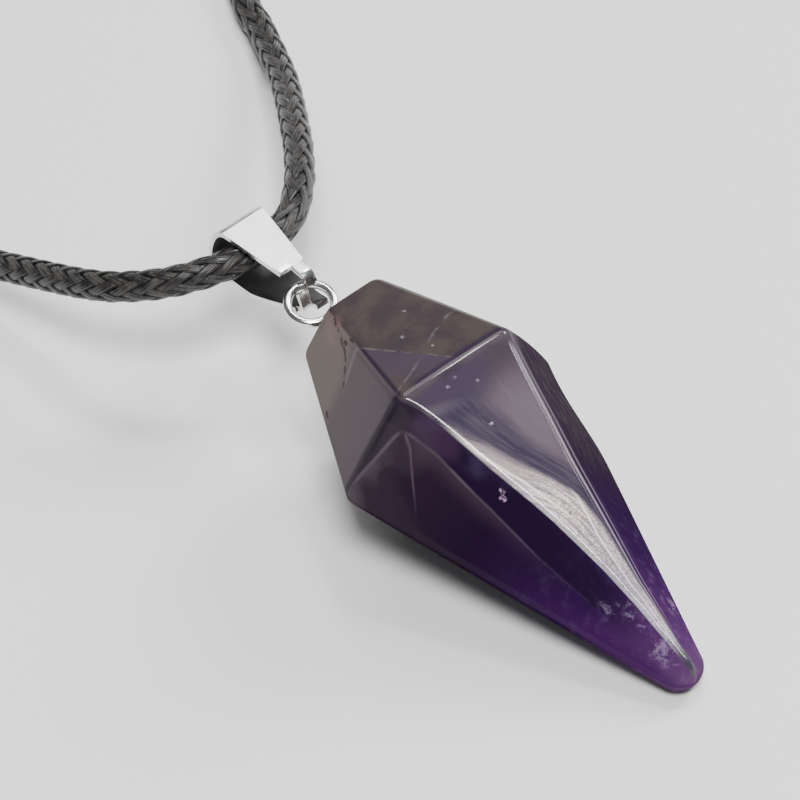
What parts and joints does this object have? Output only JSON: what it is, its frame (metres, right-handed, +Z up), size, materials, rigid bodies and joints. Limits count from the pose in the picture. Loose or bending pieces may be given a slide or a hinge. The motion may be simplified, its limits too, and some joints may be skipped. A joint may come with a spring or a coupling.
{
  "type": "hexagonal crystal pendant",
  "caption": "Double-ended hexagonal crystal pendant on a steel bail and a round braided cord necklace, laid down flat as a closed loop with a barrel clasp.",
  "frame": {"origin": "On the surface that the necklace lies on, under the middle of the bounding box of the whole loop and pendant.", "axes": "+X runs along the laid-out necklace from the clasp to the crystal's tip, +Y across it, +Z up."},
  "size_m": [0.2195, 0.106, 0.0134],
  "materials": {
    "stone": "polished translucent violet stone, smoky towards the short end",
    "pin_steel": "bright polished steel wire",
    "bail_steel": "bright polished steel sheet",
    "cord": "black waxed braided cord",
    "clasp_steel": "bright polished steel"
  },
  "bodies": {
    "root": {"crystal": "stone", "eye_pin": "pin_steel", "bail": "bail_steel", "cord": "cord", "clasp": "clasp_steel"}
  },
  "joints": []
}
